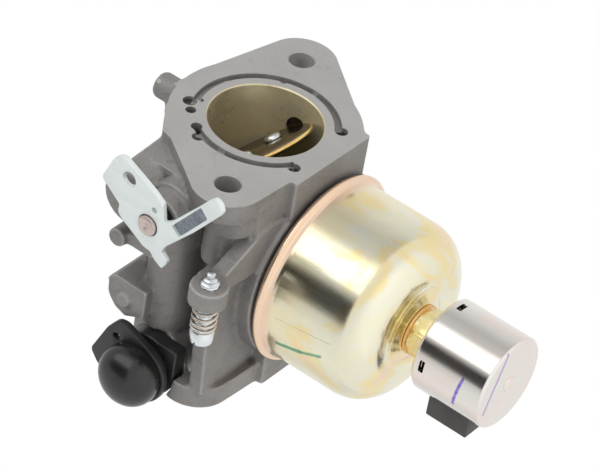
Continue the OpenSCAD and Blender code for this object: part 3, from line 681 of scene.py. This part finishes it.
outer = [(5.3, -55.2), (5.3, -56), (7.6, -56), (8.2, -55.9), (9.4, -55.2), (10.6, -54.95), (11.6, -55.3),
         (12.6, -55.85)]
outer += arc_points((14.1, -45), 11, -90, 0, 22)
outer += [(25.1, -38), (25.12, -34), (25.1, -27.6), (25.2, -26.4), (25.6, -25.5)]
outer += arc_points((26, -24.1), 0.9, -90, 90, 8)
outer += [(25.3, -23.05), (24.4, -23.05), (24.25, -24), (24.2, -38)]
outer += arc_points((14.1, -45), 10.1, 0, -90, 14)
outer += [(12.4, -55.05), (11.2, -54.4), (9.2, -54.3), (8.2, -55.05)]


finish_mesh("float_bowl_shell", lathe(outer, "z", AXIS, 256), [BOWL], ROOT, ["float_bowl"], 50)
finish_mesh("copper_washer",
            lathe([(5.1, -57), (6.6, -57), (6.95, -56.85), (7, -56.5), (6.95, -56.15), (6.6, -56),
                                    (5.1, -56)], "z", AXIS, 128), [WASHER], ROOT, ["bowl_washer"], 30)


def hexagon(turn, r, t):
    """Six flats with turned-off corners."""
    if not -63.1 < t < -57 or r < 6:
        return r
    sector = (turn + math.pi / 6) % (math.pi / 3) - math.pi / 6
    return min(r, 6.25 / math.cos(sector))


hex_profile = [(0, -63.3), (6.1, -63.3), (6.4, -63), (7.2, -62.4), (7.2, -58.2), (6.5, -57.2), (6.4, -57),
               (5.6, -57.02)]
hex_profile += [(5, -56.5), (5, -54.2), (4.6, -53.8)]
for turn in range(16):
    z = -53.6 + turn * 0.8
    hex_profile += [(4.95, z + 0.2), (4.55, z + 0.6)]
hex_profile += [(4.4, -40.4), (3.9, -39.8), (0, -39.8)]
finish_mesh("fitting_body", lathe(hex_profile, "z", AXIS, 180, hexagon), [FITTING], ROOT,
            ["solenoid_fitting"], 28)

# ---------------------------------------------------------------- solenoid can and plug
can = [(0, -84.5), (11.7, -84.5)]
can += arc_points((11.85, -83.5), 1.0, -90, 0, 6)
can += [(12.85, -80), (12.85, -64.6), (12.78, -63.8), (12.5, -63.45), (12.2, -63.4), (11.95, -63.5),
        (11.7, -63.9), (11.65, -64.6), (11.65, -82.2), (11.2, -83.2), (0, -83.3)]
can_mesh = lathe(can, "z", AXIS, 256)
NOTCHES = (6, 96, 186)


def round_axis(mesh, turn):
    """Mesh drawn about the Z axis, moved to the bowl axis and turned about it."""
    return placed(mesh, Matrix.Translation(Vector(AXIS) * MM) @ Matrix.Rotation(math.radians(turn), 4, "Z"))


windows = [block((-6, -50, -79), (6, -43, -66.4))]
for turn in NOTCHES:
    windows.append(round_axis(block((9.8, -1.7, -66.9), (14, 1.7, -65.4), 0.3, 3), turn))
can_mesh = carve(can_mesh, windows)
finish_mesh("can_shell", can_mesh, [CAN], ROOT, ["solenoid_can"], 35)
lid = lathe([(5.7, -65.4), (11.4, -65.4), (11.6, -65.2), (11.6, -63.7), (11.4, -63.4), (6.2, -63.4),
             (5.7, -63.6)],
            "z", AXIS, 160)
finish_mesh("can_lid", lid, [CAN], ROOT, ["solenoid_cap"], 30)
pip = [(0, -85.1), (1.5, -85.05), (2.1, -84.85), (2.3, -84.52), (2.3, -84), (4, -82), (4, -77.2),
       (2.3, -77.2), (2.3, -79.4), (0, -79.5)]
finish_mesh("core_pip", lathe(pip, "z", AXIS, 96), [CAN], ROOT, ["solenoid_core"], 30)
shell = block((-6, -52.2, -79), (6, -45.4, -66.4), 0.35, 3)
shell = carve(shell, [block((-4.7, -54, -77.8), (4.7, -46.1, -67.6), 0.3, 2),
                      block((-1.3, -54, -66.9), (1.3, -48.5, -60), 0, 1)])
finish_mesh("plug_housing", shell, [PLUG], ROOT, ["solenoid_connector"], 30)

# ---------------------------------------------------------------- throttle
THROTTLE = (0, -10.3, 0)
THROTTLE_TURN = 222
lever = [(6.4, 15.7), (5.4, 15.4), (1, 9.4), (-1.4, 9.6), (-2.7, 8.3), (-7, 0.6), (-7.3, -2), (-8.7, -3),
         (-10.3, -6), (-7.6, -7.4), (-5.6, -5.2), (-3.6, -5.8), (6.1, -13.9), (15.6, -20.9), (16.8, -21.2),
         (18.6, -20.2), (19.3, -18.4), (18, -17), (13.3, -13.4), (5.3, -7), (3.4, -4.6), (8.4, -3.6),
         (10.4, -0.6), (15.2, 9.6), (15, 11.2), (13.6, 12.8)]
shift = [(y - 10.3, z) for y, z in lever]
edge = rounded(shift, 0.7, 5)
lever_mesh = stamped([edge, circle((-0.4, 7.5), 2.1), circle((-4.9, -1.3), 0.8, 24),
                      circle((-10.3, 0), 3.0, 48)],
                     43, 44.6, "x", 0.14)
pocket = [(y - 10.3, z) for y, z in ((14.6, -14.9), (12.3, -17.3), (2.1, -9.8), (4.2, -7.2))]
recess = stamped([rounded(pocket, 0.5, 4)], 43.75, 46, "x", 0.05)
lever_mesh = carve(lever_mesh, [recess])
finish_mesh("lever_plate", lever_mesh, [LEVER, POCKET_PAINTED_SHADE], "throttle", ["throttle_lever"], 32)
# the pocket floor takes the dark painted-shade material
for face in lever_mesh.polygons:
    c = face.center
    if abs(c.x - 0.04375) < 6e-5 and face.normal.x > 0.5:
        face.material_index = 1


def half_shaft(x_low, x_high, flat, centre, turned):
    body = pin("x", 3.15, x_low, x_high, centre, 0.3, 128)
    flat_cut = block((-flat, centre[1] - 10, -10), (flat, centre[1], 10))
    flat_cut = placed(flat_cut, turn_about("X", turned, centre))
    return carve(body, [flat_cut])


shaft_mesh = half_shaft(-26.5, 43, 15, THROTTLE, THROTTLE_TURN)
finish_mesh("throttle_spindle", shaft_mesh, [SHAFT_PAINTED_DARK], "throttle", ["throttle_shaft"], 32)
end = lathe([(0, 45.1), (0.5, 45.15), (0.8, 45.4), (1.6, 45.55), (2.2, 45.5), (2.6, 45.3), (2.75, 44.95),
             (2.7, 44.6), (2.65, 42.9), (0, 42.9)], "x", THROTTLE, 96)
finish_mesh("staked_end", end, [STAKED], "throttle", (), 40)


def butterfly(r, centre, turned):
    plate = lathe([(0, -0.94), (r - 0.25, -0.94), (r - 0.1, -0.85), (r, -0.7), (r, -0.25), (r - 0.1, -0.1),
                   (r - 0.25, -0.02), (0, -0.02)], "y", centre, 192)
    return placed(plate, turn_about("X", turned, centre))


def plate_screws(centre, turned):
    meshes = []
    for x in (-6, 6):
        spot = (x, centre[1], centre[2])
        head = lathe([(0, -2.4), (1.4, -2.35), (2.1, -2.0), (2.4, -1.5), (2.4, -1.12), (2.3, -1.0),
                      (1.2, -1.0), (1.2, 2.6), (0.9, 2.95), (0, 2.95)], "y", spot, 64)
        head = carve(head, [block((x - 4, centre[1] - 3, -0.35), (x + 4, centre[1] - 1.7, 0.35))])
        meshes.append(placed(head, turn_about("X", turned, centre)))
    return joined(meshes)


disc = finish_mesh("throttle_disc", butterfly(14.86, THROTTLE, THROTTLE_TURN), [PLATE, PLATE_FACE_PAINTED_REFLECTION],
                   "throttle", ["throttle_plate"], 40)
# both faces of the throttle plate take the darker brass, a painted dark reflection; the rim keeps the bright
# brass
plate_normal = Matrix.Rotation(math.radians(THROTTLE_TURN), 3, "X") @ Vector((0, 1, 0))
for face in disc.data.polygons:
    if abs(face.normal.dot(plate_normal)) > 0.97:
        face.material_index = 1

finish_mesh("throttle_disc_screws", plate_screws(THROTTLE, THROTTLE_TURN), [SCREW], "throttle",
            ["throttle_plate_screws"], 35)

# ---------------------------------------------------------------- choke
CHOKE = (0, -60.5, 0)
finish_mesh("choke_spindle", half_shaft(-26.5, 43, 16.5, CHOKE, 0), [SHAFT_PAINTED_DARK], "choke", ["choke_shaft"], 32)
finish_mesh("choke_disc", butterfly(16.33, CHOKE, 0), [PLATE], "choke", ["choke_plate"], 40)
finish_mesh("choke_disc_screws", plate_screws(CHOKE, 0), [SCREW], "choke", ["choke_plate_screws"], 35)
ear = [(-5.4, 12.2), (-2, 15), (8, 10.6), (11.6, 8), (12.2, 5.2), (8.6, -3.3), (6.5, -6.5)]
ear += arc_points((0, 0), 9.2, -45, -190, 18)
ear = rounded([(y - 60.5, z) for y, z in ear], 1.2, 5)
ear_mesh = stamped([ear, circle((6.7 - 60.5, 7.3), 1.1, 32), circle((-60.5, 0), 3.3, 48)], 38.6, 40.6, "x",
                   0.3)
hub = lathe([(3.3, 36.6), (7.1, 36.6), (7.4, 36.9), (7.4, 38.7), (3.3, 38.7)], "x", CHOKE, 128)
finish_mesh("choke_arm", joined([ear_mesh, hub]), [EAR], "choke", ["choke_lever"], 32)
dome = [(0, 49.93)]
dome += [(8.6 * math.sin(math.radians(a)), 43.1 + 6.83 * math.cos(math.radians(a))) for a in range(6, 91, 6)]
dome += [(8.6, 41), (8.35, 40.66), (0, 40.66)]
finish_mesh("choke_knob", lathe(dome, "x", CHOKE, 192), [BLACK], "choke", ["choke_cap"], 40)
collar = lathe([(3.5, 32.05), (8.7, 32.05), (9, 32.3), (9, 36.1), (8.7, 36.4), (3.5, 36.4)], "x", CHOKE, 160)
corner = block((32.1, -60.5, -9), (36.4, -51.9, -0.1), 0.5, 3)
collar = carve(collar, [corner], "UNION")
collar = carve(collar, [block((20, -80, -30), (50, -66, 30))])
finish_mesh("choke_bush", collar, [EAR], ROOT, ["choke_collar"], 32)

# ---------------------------------------------------------------- idle-speed screw and spring
IDLE = (43, 0, -20)


def threaded(profile_r, pitch, depth, low, high):
    def shape(turn, r, t):
        if low < t < high and r > profile_r - 0.05:
            phase = (t / pitch - turn / (2 * math.pi)) % 1
            return r - depth * abs(2 * phase - 1)
        return r
    return shape


thread = [(0, -13.9), (0.8, -13.95), (1.1, -14.2), (1.1, -15.6), (1.5, -15.75), (1.75, -16), (1.75, -16.5),
          (2.2, -16.7)]
t = -16.9
while t > -31.6:
    thread.append((2.45, t))
    t -= 0.1
thread += [(2.45, -31.7), (2.9, -31.75), (3.1, -32), (3.1, -35.3), (2.9, -35.65), (2.5, -35.8), (0, -35.8)]
screw_mesh = lathe(thread, "y", IDLE, 64, threaded(2.45, 0.8, 0.35, -31.4, -17))
screw_mesh = carve(screw_mesh, [block((38, -37, -20.5), (48, -34.6, -19.5))])
finish_mesh("idle_screw_body", screw_mesh, [SCREW], "idle_screw", ["idle_speed_screw"], 40)


def helix(centre, axis, radius, wire, low, high, turns, steps=40, sides=12):
    """Compression spring with closed ends."""
    main, one, two = spin_axes(axis)
    centre = Vector(centre)
    bm = bmesh.new()
    total = int(turns * steps)
    rings = []
    for i in range(total + 1):
        u = i / total
        n = u * turns
        tight = 0.75
        body = turns - 2 * tight
        flat = 2 * wire * tight
        span = high - low - 2 * wire
        if n < tight:
            level = n / tight * flat * 0.9
        elif n > turns - tight:
            level = span - (turns - n) / tight * flat * 0.9
        else:
            level = flat * 0.9 + (n - tight) / body * (span - 1.8 * flat)
        a = 2 * math.pi * n
        out = one * math.cos(a) + two * math.sin(a)
        middle = centre + main * (low + wire + level) + out * radius
        ring = []
        for k in range(sides):
            b = 2 * math.pi * k / sides
            ring.append(bm.verts.new((middle + out * wire * math.cos(b) + main * wire * math.sin(b)) * MM))
        rings.append(ring)
    for a, b in zip(rings, rings[1:]):
        for k in range(sides):
            bm.faces.new((a[k], a[(k + 1) % sides], b[(k + 1) % sides], b[k]))
    bm.faces.new(rings[0][::-1])
    bm.faces.new(rings[-1])
    return to_mesh(bm, "helix")


# the springs ride no body: they are left unattached, with their placement baked into the mesh
idle_coil = finish_mesh("idle_coil", helix(IDLE, "y", 2.95, 0.45, -31.65, -23.45, 4.6), [SPRING], None,
                        ["idle_speed_spring"], 60)
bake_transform(idle_coil)
plunger_coil = finish_mesh("plunger_coil", helix(AXIS, "z", 1.7, 0.25, -79.4, -70.2, 7), [SPRING], None,
                           ["plunger_spring"], 60)
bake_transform(plunger_coil)

# ---------------------------------------------------------------- materials of the pieces that stay as CAD
for name, mat in {
        "bowl_gasket": RUBBER, "solenoid_bobbin": PLUG, "solenoid_coil": COPPER, "solenoid_plunger": STEEL,
        "connector_terminals": BRASS, "main_jet": BRASS, "emulsion_tube": BRASS, "idle_jet": BRASS,
        "fuel_inlet": BRASS, "inlet_seat": BRASS, "inlet_needle": RUBBER, "main_float": FOAM,
        "float_pin": STEEL, "throttle_seal": RUBBER, "mixture_screw": BRASS, "mixture_ring": RUBBER,
        "welch_plug": STEEL, "transfer_plug": BRASS}.items():
    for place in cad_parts[name].material_slots:
        place.material = mat

# ---------------------------------------------------------------- floor
floor_mat, fn, fs, fp = material("floor_paper")
paper = fn.noise(fp, 3, 3, 0.5)
fn.link(fn.mix(paper, (0.86, 0.86, 0.855), (0.9, 0.9, 0.895)), fs.inputs["Base Color"])
fs.inputs["Roughness"].default_value = 0.9
fs.inputs["Emission Color"].default_value = (1, 1, 1, 1)
fs.inputs["Emission Strength"].default_value = 0.45
floor_mesh = lathe([(0, 0), (6000, 0), (6000, -10), (0, -10)], "z", (0, 0, -900), 64)
floor_mesh.materials.append(floor_mat)
floor = bpy.data.objects.new("floor", floor_mesh)
scene.collection.objects.link(floor)
